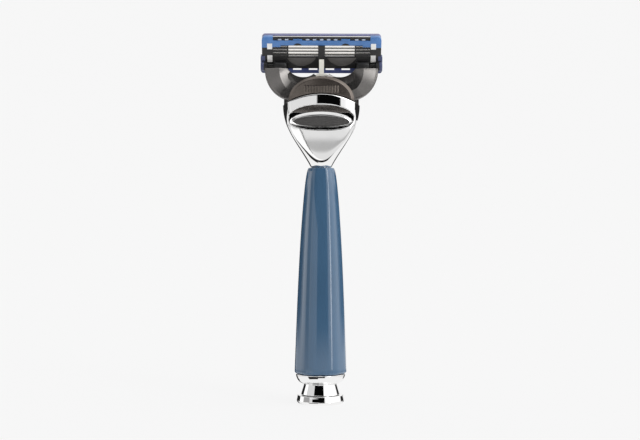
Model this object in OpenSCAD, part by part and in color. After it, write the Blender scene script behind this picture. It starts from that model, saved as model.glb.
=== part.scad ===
// Cartridge razor with a weighted round foot.
// Z runs up the handle from the flat of the foot, X runs across the blades,
// and the shaving side faces +Y. The release button is on the -Y side.

/* [Part] */

// Which piece to show

/* [Foot] */

// Height of the round base plate
base_h = 2.9; // [2:0.1:5]
// Largest radius of the base plate
base_r = 7.95; // [6:0.05:12]
// Radius of the flat that stands on the shelf
base_flat_r = 6.7; // [5:0.1:11]
// Height of the largest radius above the shelf
base_belly_z = 1.0; // [0.6:0.1:3]
// Height of the top of the waist
waist_top_z = 6.7; // [5:0.1:10]
// Waist radius at the base plate
waist_low_r = 6.55; // [4:0.05:8]
// Waist radius at the cup
waist_top_r = 5.4; // [3:0.05:7]
// Height of the cup's rim
cup_top_z = 9.95; // [8:0.05:14]
// Radius of the cup's rim
cup_r = 8.25; // [6:0.05:12]

/* [Grip] */

// Height where the grip starts, above the seal
grip_z0 = 10.1; // [8:0.1:15]
// Height where the grip ends
grip_z1 = 79.0; // [60:0.5:95]
// Corner radius of the grip at its foot
grip_r = 8.72; // [6:0.02:12]
// Even taper over the whole grip
grip_taper = 2.34; // [0:0.02:4]
// Extra narrowing towards the head
grip_narrow = 1.53; // [0:0.01:3]
// Rounding of the grip's shoulder under the collar
grip_shoulder = 0.42; // [0:0.01:1]
// Depth of the six flats as a share of the radius
grip_flat = 0.05; // [0:0.002:0.12]

/* [Collar] */

// Radius of the collar where it leaves the grip
collar_r = 3.35; // [2.5:0.05:5]
// Half width of the collar at the docking edge
collar_half_w = 12.85; // [8:0.05:16]
// Half depth of the collar's upper part
collar_half_d = 5.8; // [4:0.1:8]
// Distance of the rounded front face from the axis
front_y = 5.5; // [4:0.1:7]
// Radius of the front face, from side to side
front_r = 36; // [20:1:80]
// Forward lean of the shield face under the window
shield_lean = 5.1; // [0:0.1:10]
// Height of the docking edge at its middle
dock_z = 103.5; // [95:0.1:110]
// Radius of the docking edge's arc
dock_arc_r = 25; // [20:0.1:80]

/* [Release button] */

// Travel of the button
button_travel = 2.2; // [1:0.1:3]
// Height of the window's widest line
window_z = 95.6; // [85:0.1:100]
// Half width of the window
window_half_w = 10.95; // [8:0.05:11.5]
// Height of the window above its widest line
window_rise = 4.3; // [2:0.1:8]
// Depth of the window below its widest line
window_drop = 4.1; // [0.5:0.1:6]
// Height of the button's widest line
button_z = 94.35; // [85:0.05:100]
// Half width of the button plate
button_half_w = 10.5; // [8:0.1:11]
// Height of the button above its widest line
button_rise = 3.35; // [2:0.05:6]
// Depth of the button below its widest line
button_drop = 2.15; // [0.3:0.05:3]

/* [Yoke] */

// Radius of the arms' outer arc
arm_r = 10.15; // [8:0.05:14]
// Sideways offset of the arms' arc centres
arm_cx = 8.84; // [6:0.02:12]
// Height of the arms' arc centres
arm_cz = 111.6; // [105:0.1:118]
// Height of the arms' shoulders
arm_top_z = 112.3; // [110:0.1:116]
// Half width of the domed hub cover
dome_half_w = 10.85; // [8:0.05:13]
// Height of the hub cover above its base line
dome_h = 7.7; // [5:0.1:10]

/* [Cartridge] */

// Distance of the pivot axis from the handle axis
pivot_y = 2.5; // [0:0.1:5]
// Height of the pivot axis
pivot_z = 113.4; // [110:0.1:118]
// Lean of the cartridge at rest
lean = 28; // [0:1:45]
// Half width of the blade housing
head_half_w = 20.1; // [16:0.1:24]
// Distance from one blade to the next
blade_pitch = 1.1; // [0.8:0.05:1.6]
// Radius of the pivot pins
pin_r = 0.85; // [0.6:0.05:1.2]

/* [Hidden] */

$fn = 96;
eps = 0.01;

steel_colour = [0.82, 0.83, 0.85];
dark_colour = [0.22, 0.22, 0.24];
blue_colour = [0.22, 0.38, 0.66];

// Tie rod and its holes
rod_r = 2.0;
rod_hole_r = 2.05;
rod_z0 = 1.5;
rod_z1 = 87.5;

// Collar and docking levels
dock_cz = dock_z - dock_arc_r;
dock_gap = 0.25;
skirt_z = 99.4;
collar_top_z = 103.6;
shield_lean_z = 94;
cover_y = 5.3;

// Layers of the button stack, front to back
lip_back_y = 3.4;
plate_y0 = -lip_back_y + 0.1;
plate_y1 = -1.85;
pocket_y1 = -1.8;
shield_y0 = -1.79;
shield_y1 = -1.5;
shield_z = 97.45;
eject_y0 = -1.4;
eject_y1 = -0.75;
slot_y1 = -0.6;
pocket_z0 = window_z - window_drop;
pad_half_w = 9.4;
pad_rise = 2.1;
pad_drop = 1.7;
pad_z = 94.3;

// Screws that hold the docking core
screw_x = 5.6;
screw_z = 94.2;

// Docking core
core_half_w = 8.6;
core_y0 = -0.5;
core_y1 = 2.6;
core_z0 = 89.6;
core_z1 = 104.5;
core_gap = 0.1;
spring_roof_z = 100;

// Hub
hub_y0 = -2.6;
hub_y1 = 4.8;
hub_half_w = 12.65;
hub_top_z = 109.4;
arm_y1 = 2.6;
notch_r = 5.9;
notch_cx = 6.2;
notch_cz = 115.3;
boss_r = 1.6;
boss_x0 = 11.9;
boss_x1 = 15.9;
ear_x0 = 18.4;
ear_r = 1.55;
pin_hole_r = 0.9;
sweep_r = 1.9;

// Plunger, pushed up against the cartridge's centre bar
plunger_y = pivot_y - 0.9;
tip_r = 0.5;
tip_rise = 1.8;
dish_r = 1.9;
dish_w = -1.14;
dish_v = 1.6;

// Cartridge levels: v runs from the guard to the cap, w from the back to the blades
frame_w0 = 1.3;
frame_w1 = 5.2;
frame_v0 = -1.2;
frame_v1 = 9.0;
bay_half_w = 16.4;
bay_v0 = 1.3;
bay_v1 = 7.4;
bay_back_v0 = 2.9;
bay_back_w = 2.15;
blade_v0 = 1.8;
seat_w = 2.8;
trim_w0 = 0.7;
trim_v0 = 7.2;
trim_end_v0 = 6.4;
cap_v = 10.1;
guard_v0 = -3.1;
guard_w0 = 1.7;
guard_w1 = 4.9;
clip_x0 = 16.6;
clip_x1 = 18.3;
clip_t = 0.15;
clip_low_v = 1.1;
clip_high_v = 7.75;

// ---------- helpers ----------

// A flat outline in x and z, given depth from y0 to y1
module plate_xz(y0, y1) {
    translate([0, y1, 0])
        rotate([90, 0, 0])
            linear_extrude(height = y1 - y0)
                children();
}

// A box from its low and high corners
module box(lo, hi) {
    translate(lo)
        cube(hi - lo);
}

// A box and its mirror image across the middle plane
module pair_box(lo, hi) {
    box(lo, hi);
    mirror([1, 0, 0])
        box(lo, hi);
}

// A shaft along x, from x0 to x1, at y and z
module shaft_x(r, x0, x1, y, z) {
    translate([x0, y, z])
        rotate([0, 90, 0])
            cylinder(r = r, h = x1 - x0);
}

// The cartridge's own frame at its lean
module on_pivot() {
    translate([0, pivot_y, pivot_z])
        rotate([lean, 0, 0])
            children();
}

function bezier(t, a, b, c, d) =
    pow(1 - t, 3) * a + 3 * pow(1 - t, 2) * t * b + 3 * (1 - t) * t * t * c + pow(t, 3) * d;

// Closes a stack of equal rings into a solid
module ring_solid(rings) {
    count = len(rings);
    sides = len(rings[0]);
    points = [for (ring = rings) for (p = ring) p];
    walls = [
        for (i = [0:count - 2])
            for (j = [0:sides - 1])
                for (half = [0:1])
                    half == 0
                        ? [i * sides + j, (i + 1) * sides + j, i * sides + (j + 1) % sides]
                        : [i * sides + (j + 1) % sides, (i + 1) * sides + j, (i + 1) * sides + (j + 1) % sides]
    ];
    floor_face = [for (j = [0:sides - 1]) j];
    roof_face = [for (j = [sides - 1:-1:0]) (count - 1) * sides + j];
    polyhedron(points = points, faces = concat(walls, [floor_face], [roof_face]), convexity = 6);
}

// A coil spring standing on z0, wound around x = 0 and y = cy
module coil(cy, z0, z1, r, wire_r, turns) {
    steps = turns * 14;
    sides = 6;
    rise = z1 - z0 - 2 * wire_r;
    rings = [
        for (i = [0:steps])
            let (a = 360 * turns * i / steps, z = z0 + wire_r + rise * i / steps)
                [
                    for (j = [0:sides - 1])
                        let (b = 360 * j / sides, q = r + wire_r * cos(b))
                            [q * cos(a), cy + q * sin(a), z + wire_r * sin(b)]
                ]
    ];
    ring_solid(rings);
}

// ---------- foot ----------

module foot_base() {
    color(steel_colour)
        difference() {
            rotate_extrude()
                polygon(concat(
                    [[0, 0]],
                    [for (i = [0:6]) [base_flat_r + (base_r - base_flat_r) * sin(15 * i),
                        base_belly_z * (1 - cos(15 * i))]],
                    [for (u = [0.25:0.25:1]) [base_r - 0.5 * u * u, base_belly_z + (base_h - base_belly_z) * u]],
                    [[0, base_h]]
                ));
            translate([0, 0, rod_z0])
                cylinder(r = rod_hole_r, h = base_h);
        }
}

module foot_waist() {
    color(steel_colour)
        difference() {
            translate([0, 0, base_h])
                cylinder(r1 = waist_low_r, r2 = waist_top_r, h = waist_top_z - base_h);
            cylinder(r = rod_hole_r, h = waist_top_z + 1);
        }
}

module foot_cup() {
    color(steel_colour)
        difference() {
            rotate_extrude()
                polygon(concat(
                    [[0, waist_top_z]],
                    [for (i = [0:9]) [5.5 + (cup_r - 5.5) * sin(9 + 9 * i),
                        waist_top_z + (cup_top_z - waist_top_z) * (1 - cos(9 + 9 * i))]],
                    [[cup_r - 0.25, cup_top_z], [0, cup_top_z]]
                ));
            cylinder(r = rod_hole_r, h = cup_top_z + 1);
        }
}

module foot_seal() {
    color(dark_colour)
        translate([0, 0, cup_top_z])
            difference() {
                cylinder(r = 7.9, h = grip_z0 - cup_top_z);
                translate([0, 0, -1])
                    cylinder(r = rod_hole_r, h = 3);
            }
}

// ---------- grip ----------

function grip_corner(z) =
    let (u = (z - grip_z0) / (grip_z1 - grip_z0))
        grip_r - grip_taper * u - grip_narrow * pow(u, 3.6) - grip_shoulder * pow(u, 30);

// Softly rounded hexagon with a corner on the x axis
function hex_ring(r, z, sides) =
    [for (j = [0:sides - 1])
        let (a = 360 * j / sides, q = r * (1 - grip_flat * (1 - cos(6 * a)) / 2))
            [q * cos(a), q * sin(a), z]];

module grip() {
    low_edge = 0.7;
    high_edge = 0.4;
    sides = 72;
    levels = [for (i = [0:16]) grip_z0 + low_edge + (grip_z1 - grip_z0 - low_edge - high_edge) * i / 16];
    rings = concat(
        [for (a = [0:30:60]) hex_ring(grip_corner(grip_z0) - low_edge * (1 - sin(a)),
            grip_z0 + low_edge * (1 - cos(a)), sides)],
        [for (z = levels) hex_ring(grip_corner(z), z, sides)],
        [for (a = [60:-30:0]) hex_ring(grip_corner(grip_z1) - high_edge * (1 - sin(a)),
            grip_z1 - high_edge * (1 - cos(a)), sides)]
    );
    color([0.28, 0.40, 0.52])
        difference() {
            ring_solid(rings);
            translate([0, 0, grip_z0 - 1])
                cylinder(r = rod_hole_r, h = grip_z1 - grip_z0 + 2);
        }
}

module tie_rod() {
    color(steel_colour)
        translate([0, 0, rod_z0])
            cylinder(r = rod_r, h = rod_z1 - rod_z0);
}

// ---------- collar ----------

// Half width of the collar by height, as one smooth curve given by t
function collar_x(t) = bezier(t, collar_r, 7.7, 13.3, collar_half_w);
function collar_z(t) = bezier(t, grip_z1, 87, 92, 101);

// Rounded-box ring: the power grows from a circle at the stem to a soft box at the head
function collar_ring(half_w, z, sides) =
    let (
        half_d = collar_half_d - (collar_half_d - collar_r) * exp(-(z - grip_z1) / 3.3),
        power = 2 + 2 * min(1, (z - grip_z1) / 9) - 1.5 * min(1, max(0, (z - grip_z1 - 9) / 8))
    )
        [for (j = [0:sides - 1])
            let (
                a = 360 * j / sides,
                c = cos(a),
                s = sin(a),
                q = pow(pow(abs(c), power) + pow(abs(s), power), -1 / power)
            )
                [half_w * q * c, half_d * q * s, z]];

module collar_body() {
    sides = 56;
    ring_solid(concat(
        [for (i = [0:14]) collar_ring(collar_x(i / 14), collar_z(i / 14), sides)],
        [collar_ring(collar_half_w, collar_top_z, sides)]
    ));
}

// Everything under the arched docking edge
module dock_arch(gap) {
    translate([0, dock_cz])
        circle(r = dock_arc_r + gap, $fn = 180);
}

// Oval with its own height above and below the widest line; a power over 2 squares its lower half
function oval_points(half_w, rise, drop, power) =
    [for (i = [0:63])
        let (
            t = 360 * i / 64,
            n = t < 180 ? 2 : power,
            c = cos(t),
            s = sin(t)
        )
            [half_w * sign(c) * pow(abs(c), 2 / n), (s > 0 ? rise : drop) * sign(s) * pow(abs(s), 2 / n)]];

// Window in the shield face that shows the button
module window_outline() {
    translate([0, window_z])
        polygon(oval_points(window_half_w, window_rise, window_drop, 2.5));
}

module button_outline(play) {
    translate([0, button_z])
        polygon(oval_points(button_half_w + play, button_rise + play, button_drop + play, 2.2));
}

module pad_outline(play) {
    translate([0, pad_z])
        polygon(oval_points(pad_half_w + play, pad_rise + play, pad_drop + play, 2));
}

// Room for the button plate over its whole travel
module pocket_outline() {
    play = 0.15;
    for (lift = [0, button_travel])
        translate([0, lift])
            button_outline(play);
    translate([-button_half_w - play, button_z])
        square([2 * (button_half_w + play), button_travel]);
}

// The part of the window that the button leaves free
module shield_outline(play) {
    intersection() {
        pocket_outline();
        translate([-20, shield_z - play])
            square([40, 10]);
    }
}

// Upright barrel that rounds the front from side to side
module front_barrel(forward) {
    translate([0, front_r - forward, 60])
        cylinder(r = front_r, h = 60, $fn = 240);
}

// Barrel whose foot is set back, which cuts the shield face under the window
module leaning_barrel() {
    translate([0, front_r / cos(shield_lean) - front_y, shield_lean_z])
        rotate([shield_lean, 0, 0])
            translate([0, 0, -35])
                cylinder(r = front_r, h = 70, $fn = 240);
}

module screw_holes() {
    for (side = [-1, 1])
        translate([side * screw_x, 0, screw_z])
            rotate([-90, 0, 0]) {
                translate([0, 0, 0.5])
                    cylinder(r = 0.8, h = 8);
                translate([0, 0, 4.2])
                    cylinder(r = 1.6, h = 8);
            }
}

module collar() {
    color(steel_colour)
        difference() {
            intersection() {
                collar_body();
                plate_xz(-collar_half_d - 1, 10)
                    dock_arch(0);
                front_barrel(front_y);
                leaning_barrel();
            }
            plate_xz(-10, -lip_back_y + eps)
                window_outline();
            plate_xz(-lip_back_y, pocket_y1)
                pocket_outline();
            // Seat of the shield plate behind the button
            plate_xz(pocket_y1 - eps, shield_y1 + 0.02)
                shield_outline(0.02);
            // Slot for the ejector and room for the docking core
            box([-7.2, pocket_y1 - eps, pocket_z0], [7.2, slot_y1 + eps, collar_top_z + 1]);
            box([-core_half_w - 0.05, slot_y1, core_z0], [core_half_w + 0.05, core_y1 + 0.05, collar_top_z + 1]);
            translate([0, 0, grip_z1 - 1])
                cylinder(r = rod_hole_r, h = rod_z1 - grip_z1 + 1.3);
            screw_holes();
        }
}

module docking_core() {
    color(dark_colour)
        difference() {
            box([-core_half_w, core_y0, core_z0], [core_half_w, core_y1, core_z1]);
            // Chamber for the button spring and its lug
            box([-2, core_y0 - 1, 91.8], [2, 2.45, spring_roof_z]);
            // Chamfered lead-in at both top corners
            for (side = [-1, 1])
                translate([side * core_half_w, 0, core_z1])
                    rotate([0, 45, 0])
                        cube([1.4, 20, 1.4], center = true);
            screw_holes();
        }
}

module core_screws() {
    color(steel_colour)
        for (side = [-1, 1])
            translate([side * screw_x, 0, screw_z])
                rotate([-90, 0, 0])
                    difference() {
                        union() {
                            translate([0, 0, 0.6])
                                cylinder(r = 0.78, h = 3.7);
                            translate([0, 0, 4.2])
                                cylinder(r = 1.55, h = 1.1);
                        }
                        translate([0, 0, 4.8])
                            cylinder(r = 0.75, h = 2, $fn = 6);
                    }
}

// Plate that closes the window above the button
module travel_shield() {
    color(dark_colour)
        plate_xz(shield_y0, shield_y1)
            shield_outline(0);
}

// ---------- release button ----------

module release_button() {
    color(steel_colour)
        difference() {
            plate_xz(plate_y0, plate_y1)
                button_outline(0);
            plate_xz(plate_y0 - 1, plate_y0 + 0.6)
                pad_outline(0);
        }
}

module button_pad() {
    rib_z0 = 93.4;
    rib_pitch = 0.9;
    color(dark_colour) {
        difference() {
            union() {
                plate_xz(plate_y0, plate_y0 + 0.6)
                    pad_outline(-0.05);
                for (i = [0:2])
                    shaft_x(0.32, -5 + 0.5 * i, 5 - 0.5 * i, plate_y0, rib_z0 + rib_pitch * i);
            }
            box([-20, plate_y0 + 0.6, 90], [20, plate_y0 + 3, 100]);
        }
    }
}

module ejector_frame() {
    lug_z = 92.4;
    color([0.35, 0.36, 0.38]) {
        box([-7, plate_y1, 92.4], [7, eject_y1, 95]);
        pair_box([5.2, eject_y0, 92.4], [7, eject_y1, 103.2]);
        box([-1.8, eject_y0, lug_z], [1.8, 2.1, 93.3]);
    }
}

module button_spring() {
    color(steel_colour)
        coil(0.95, 93.3, spring_roof_z, 0.95, 0.15, 7);
}

// ---------- yoke ----------

module notch_outline() {
    for (side = [-1, 1])
        translate([side * notch_cx, notch_cz])
            circle(r = notch_r);
    translate([-notch_cx, hub_top_z])
        square([2 * notch_cx, 20]);
}

module arm_outline() {
    difference() {
        for (side = [-1, 1])
            translate([side * arm_cx, arm_cz])
                circle(r = arm_r);
        translate([-40, arm_top_z])
            square([80, 40]);
        notch_outline();
        dock_arch(dock_gap);
    }
}

module hub_outline() {
    difference() {
        translate([-hub_half_w, skirt_z])
            square([2 * hub_half_w, hub_top_z - skirt_z]);
        dock_arch(dock_gap);
    }
}

// Crowned back of the hub
module hub_block() {
    crown_r = 41;
    intersection() {
        plate_xz(hub_y0, hub_y1)
            hub_outline();
        translate([0, hub_y1 - crown_r, skirt_z - 1])
            cylinder(r = crown_r, h = 20, $fn = 180);
    }
}

module yoke() {
    color(dark_colour)
        difference() {
            union() {
                hub_block();
                plate_xz(hub_y0, arm_y1)
                    arm_outline();
                for (side = [-1, 1]) {
                    x0 = side > 0 ? boss_x0 : -boss_x1;
                    shaft_x(boss_r, x0, x0 + boss_x1 - boss_x0, pivot_y, pivot_z);
                    box([x0, pivot_y - boss_r, 108.5], [x0 + boss_x1 - boss_x0, pivot_y + boss_r, pivot_z]);
                }
            }
            // Clearance for the cartridge's ears outside the bosses
            for (side = [-1, 1])
                shaft_x(sweep_r, side > 0 ? boss_x1 : -boss_x1 - 6, side > 0 ? boss_x1 + 6 : -boss_x1, pivot_y, pivot_z);
            // Bores that hold the pins
            shaft_x(pin_r, -boss_x1 - 1, -13.2, pivot_y, pivot_z);
            shaft_x(pin_r, 13.2, boss_x1 + 1, pivot_y, pivot_z);
            // Socket for the docking core and slots for the ejector's legs
            box([-core_half_w - core_gap, core_y0 - core_gap, 95], [core_half_w + core_gap, core_y1 + core_gap, core_z1 + 0.2]);
            pair_box([5.0, -1.9, 95], [7.2, core_y0, 105.7]);
            // Pocket for the plunger's foot, and the spring's seat under it
            box([-2.75, plunger_y - 1.1, 107.0], [2.75, plunger_y + 1.1, 112]);
            translate([0, plunger_y, 105.1])
                cylinder(r = 1.25, h = 4);
        }
}

function dome_points(inset, n) =
    [for (i = [0:n])
        let (a = 180 * i / n)
            [(dome_half_w - inset) * cos(a), 101.8 + (dome_h - inset) * sin(a)]];

module dome_outline(inset) {
    polygon(concat(dome_points(inset, 32), [[-dome_half_w + inset, 98], [dome_half_w - inset, 98]]));
}

module hub_cover() {
    rib_pitch = 0.9;
    rib_count = 13;
    color([0.36, 0.34, 0.33])
        difference() {
            union() {
                intersection() {
                    hull() {
                        plate_xz(-cover_y + 0.7, hub_y0)
                            dome_outline(0);
                        plate_xz(-cover_y, hub_y0)
                            dome_outline(0.8);
                    }
                    front_barrel(cover_y);
                }
                // Fine upright ribs that follow the rounded face
                for (i = [0:rib_count - 1])
                    let (x = (i - (rib_count - 1) / 2) * rib_pitch)
                        translate([x, x * x / (2 * front_r) - cover_y + 0.05, 105.1])
                            cube([0.4, 0.3, 2.4], center = true);
            }
            plate_xz(-10, 10)
                dock_arch(dock_gap);
        }
}

module pivot_pins() {
    color(steel_colour)
        for (side = [-1, 1])
            shaft_x(pin_r, side > 0 ? 13.2 : -19.7, side > 0 ? 19.7 : -13.2, pivot_y, pivot_z);
}

module plunger() {
    foot_z0 = 108.9;
    foot_z1 = 110.8;
    color([0.93, 0.92, 0.87])
        difference() {
            union() {
                box([-0.82, plunger_y - tip_r, foot_z1 - eps], [0.82, plunger_y + tip_r, pivot_z + tip_rise]);
                shaft_x(tip_r, -0.82, 0.82, plunger_y, pivot_z + tip_rise);
                box([-2.6, plunger_y - 0.95, foot_z0], [2.6, plunger_y + 0.95, foot_z1]);
            }
            // Sloped shoulders of the foot
            for (side = [-1, 1])
                translate([side * 2.6, plunger_y, foot_z1])
                    rotate([0, side * 30, 0])
                        cube([3.2, 4, 1.2], center = true);
        }
}

module plunger_spring() {
    color(steel_colour)
        coil(plunger_y, 105.1, 108.9, 0.95, 0.14, 5);
}

// ---------- cartridge ----------

// Outline in v and w given width from x0 to x1
module slab_x(x0, x1) {
    translate([x0, 0, 0])
        rotate([90, 0, 90])
            linear_extrude(height = x1 - x0)
                children();
}

// Slots for the clips' legs
module clip_slots() {
    play = 0.03;
    for (side = [-1, 1])
        for (v = [clip_low_v, clip_high_v]) {
            x0 = side > 0 ? clip_x0 : -clip_x1;
            box([x0 - play, 0, v - play], [x0 + clip_x1 - clip_x0 + play, 8, v + clip_t + play]);
        }
}

// Dish in the spine that the plunger's tip runs in as the cartridge swings
module cam_dish() {
    shaft_x(dish_r, -3, 3, dish_w, dish_v);
}

// Clearance around the yoke's bosses
module boss_room() {
    shaft_x(sweep_r, -bay_half_w, -11.4, 0, 0);
    shaft_x(sweep_r, 11.4, bay_half_w, 0, 0);
}

module blade_housing() {
    lobe_x = 6.8;
    lobe_r = 5.62;
    lobe_v = 5.37;
    spine_half_w = 1.15;
    spine_w0 = 0.35;
    color([0.17, 0.17, 0.18])
        on_pivot()
            difference() {
                union() {
                    difference() {
                        box([-head_half_w, frame_w0, frame_v0], [head_half_w, frame_w1, frame_v1]);
                        // Blade bay, open to the back through a lower window
                        box([-bay_half_w, bay_back_w, bay_v0], [bay_half_w, 8, bay_v1]);
                        box([-bay_half_w, 0, bay_back_v0], [bay_half_w, bay_back_w + eps, bay_v1]);
                        // Seat of the trimmer housing along the cap's back edge
                        box([-30, 0, trim_v0], [30, seat_w, 12]);
                        pair_box([bay_half_w, 0, trim_end_v0], [30, seat_w, 12]);
                        boss_room();
                    }
                    // Lens-shaped pads on the back of the lower rail
                    for (side = [-1, 1])
                        intersection() {
                            translate([side * lobe_x, frame_w0 + eps, lobe_v])
                                rotate([90, 0, 0])
                                    cylinder(r = lobe_r, h = 0.3);
                            box([-15, 0, -2], [15, 2, bay_back_v0 - 0.1]);
                        }
                    // Spine behind the middle of the blades
                    box([-spine_half_w, spine_w0, -0.9], [spine_half_w, 2.1, trim_v0]);
                    // Slats behind the blades' outer ends
                    for (i = [0:3])
                        pair_box([11.2, 1.5, 3.35 + blade_pitch * i], [bay_half_w + eps, 2.1, 3.85 + blade_pitch * i]);
                    pair_box([11.2, 1.5, bay_back_v0 - eps], [11.6, 2.1, trim_v0]);
                    // Ears that ride on the pins
                    for (side = [-1, 1]) {
                        x0 = side > 0 ? ear_x0 : -head_half_w;
                        shaft_x(ear_r, x0, x0 + head_half_w - ear_x0, 0, 0);
                        box([x0, 0, frame_v0], [x0 + head_half_w - ear_x0, frame_w0 + eps, ear_r]);
                    }
                }
                for (side = [-1, 1])
                    shaft_x(pin_hole_r, side > 0 ? ear_x0 - 1 : -19.85, side > 0 ? 19.85 : 1 - ear_x0, 0, 0);
                cam_dish();
                clip_slots();
            }
}

module guard_frame() {
    slot_w = 2.9;
    slot_tilt = -21;
    color(blue_colour)
        on_pivot()
            difference() {
                union() {
                    box([-head_half_w, guard_w0, guard_v0], [head_half_w, 3.4, frame_v0]);
                    box([-head_half_w, 3.4 - eps, -2.45], [head_half_w, guard_w1, frame_v0]);
                    // Upturned wings at both ends
                    pair_box([head_half_w, guard_w0, -2.7], [head_half_w + 0.5, guard_w1, 2.4]);
                }
                // Rinse slots, slanted the way the water leaves
                for (x = [-8.25, -2.85, 2.85, 8.25])
                    translate([x, 1.5, -1.55])
                        rotate([slot_tilt, 0, 0])
                            box([-slot_w / 2, -2, -0.27], [slot_w / 2, 6, 0.27]);
                // Cut-off lower corners
                for (side = [-1, 1])
                    translate([side * (head_half_w + 0.3), 0, guard_v0])
                        rotate([0, 45, 0])
                            cube([1.6, 20, 1.6], center = true);
                boss_room();
            }
}

module guard_fins() {
    fin_pitch = 0.5;
    fin_count = 7;
    half_w = 16.2;
    face_w = frame_w1 + 0.2;
    color([0.30, 0.55, 0.62])
        on_pivot() {
            slab_x(-half_w, half_w)
                polygon([[guard_w1, -2.4], [face_w, -2.4], [face_w, 0.95], [frame_w1, 0.95],
                    [frame_w1, frame_v0], [guard_w1, frame_v0]]);
            for (i = [0:fin_count - 1])
                box([-half_w, face_w - eps, -2.35 + fin_pitch * i], [half_w, face_w + 0.2, -2.15 + fin_pitch * i]);
        }
}

module lube_strip() {
    color([0.70, 0.84, 0.80])
        on_pivot()
            slab_x(-16.2, 16.2)
                polygon([[frame_w1, 7.5], [frame_w1 + 0.45, 7.7], [frame_w1 + 0.3, 8.8], [frame_w1, 9.0]]);
}

// One blade: a thin strip with its edge towards the guard
module blade(index) {
    v = blade_v0 + blade_pitch * index;
    color(steel_colour)
        on_pivot()
            slab_x(-16.1, 16.1)
                polygon([[5.47, v - 0.65], [4.935, v + 0.49], [4.84, v + 0.45], [5.38, v - 0.6]]);
}

// The bar that carries a blade
module blade_support(index) {
    v = blade_v0 + blade_pitch * index;
    color(steel_colour)
        on_pivot()
            slab_x(-bay_half_w, bay_half_w)
                polygon([[2.2, v - 0.15], [4.82, v - 0.15], [4.97, v - 0.32], [5.14, v - 0.23],
                    [4.83, v + 0.44], [2.2, v + 0.45]]);
}

module trimmer_housing() {
    tooth_pitch = 2.35;
    tooth_v0 = 9.2;
    tooth_v1 = 10.05;
    tooth_w1 = 1.3;
    notch_x = 8.05;
    color(blue_colour)
        on_pivot()
            difference() {
                union() {
                    box([-head_half_w, trim_w0, trim_v0], [head_half_w, seat_w, tooth_v0]);
                    pair_box([13.8, trim_w0, trim_end_v0 + 0.2], [bay_half_w, 1.4, trim_v0 + eps]);
                    pair_box([bay_half_w - eps, trim_w0, trim_end_v0], [head_half_w, seat_w, cap_v]);
                    box([-head_half_w, seat_w - eps, frame_v1], [head_half_w, guard_w1, cap_v]);
                    // Comb teeth in front of the trimmer's edge
                    for (i = [-6:6])
                        box([i * tooth_pitch - 0.68, trim_w0, tooth_v0 - eps], [i * tooth_pitch + 0.68, tooth_w1, tooth_v1]);
                    pair_box([6.4, trim_w0, tooth_v0 - eps], [9.2, tooth_w1, tooth_v1]);
                }
                // Shallow round notches over the blade window
                for (x = [-notch_x, notch_x])
                    translate([x, 0, 6.22])
                        rotate([90, 0, 0])
                            cylinder(r = 1.73, h = 8, center = true);
                clip_slots();
                // Softened long edge of the cap
                translate([0, guard_w1, cap_v])
                    rotate([45, 0, 0])
                        cube([60, 0.5, 0.5], center = true);
            }
}

module trimmer_blade() {
    color(steel_colour)
        on_pivot()
            slab_x(-bay_half_w + 0.05, bay_half_w - 0.05)
                polygon([[1.55, 10.0], [1.6, 9.94], [seat_w - 0.05, 9.71], [seat_w - 0.05, 9.95]]);
}

// Sheet clip: a strap over the blades' ends with two legs turned in behind
module clip(side) {
    x0 = side > 0 ? clip_x0 : -clip_x1;
    x1 = x0 + clip_x1 - clip_x0;
    front_w = frame_w1 + clip_t;
    color([0.88, 0.88, 0.86])
        on_pivot() {
            box([x0, frame_w1, clip_low_v], [x1, front_w, clip_high_v + clip_t]);
            box([x0, frame_w0 - clip_t, clip_low_v], [x1, front_w, clip_low_v + clip_t]);
            box([x0, frame_w0 - clip_t, clip_low_v], [x1, frame_w0, 3.5]);
            box([x0, trim_w0 - clip_t, clip_high_v], [x1, front_w, clip_high_v + clip_t]);
            box([x0, trim_w0 - clip_t, 5.9], [x1, trim_w0, clip_high_v + clip_t]);
        }
}

foot_base();
foot_waist();
foot_cup();
foot_seal();
grip();
tie_rod();
collar();
docking_core();
core_screws();
travel_shield();
release_button();
button_pad();
ejector_frame();
button_spring();
yoke();
hub_cover();
pivot_pins();
plunger();
plunger_spring();
blade_housing();
guard_frame();
guard_fins();
lube_strip();
blade(0);  // blade_1
blade(1);  // blade_2
blade(2);  // blade_3
blade(3);  // blade_4
blade(4);  // blade_5
blade_support(0);  // blade_support_1
blade_support(1);  // blade_support_2
blade_support(2);  // blade_support_3
blade_support(3);  // blade_support_4
blade_support(4);  // blade_support_5
trimmer_housing();
trimmer_blade();
clip(-1);  // clip_left
clip(1);  // clip_right
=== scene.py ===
import bpy
import bmesh
import math
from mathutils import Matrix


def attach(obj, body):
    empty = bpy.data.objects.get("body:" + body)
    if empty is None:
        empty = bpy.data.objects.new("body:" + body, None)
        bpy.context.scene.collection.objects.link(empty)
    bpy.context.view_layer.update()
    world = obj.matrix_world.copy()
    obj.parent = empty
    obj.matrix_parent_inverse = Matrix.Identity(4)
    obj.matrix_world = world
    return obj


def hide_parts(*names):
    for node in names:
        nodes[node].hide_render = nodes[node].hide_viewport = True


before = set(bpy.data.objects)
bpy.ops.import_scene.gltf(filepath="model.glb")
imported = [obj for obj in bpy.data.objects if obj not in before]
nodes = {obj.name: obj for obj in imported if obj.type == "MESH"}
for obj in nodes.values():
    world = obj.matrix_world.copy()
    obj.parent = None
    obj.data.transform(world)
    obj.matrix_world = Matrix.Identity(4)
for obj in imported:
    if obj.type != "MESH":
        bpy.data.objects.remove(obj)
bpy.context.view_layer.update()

# ---------------------------------------------------------------- sizes, in mm

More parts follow.
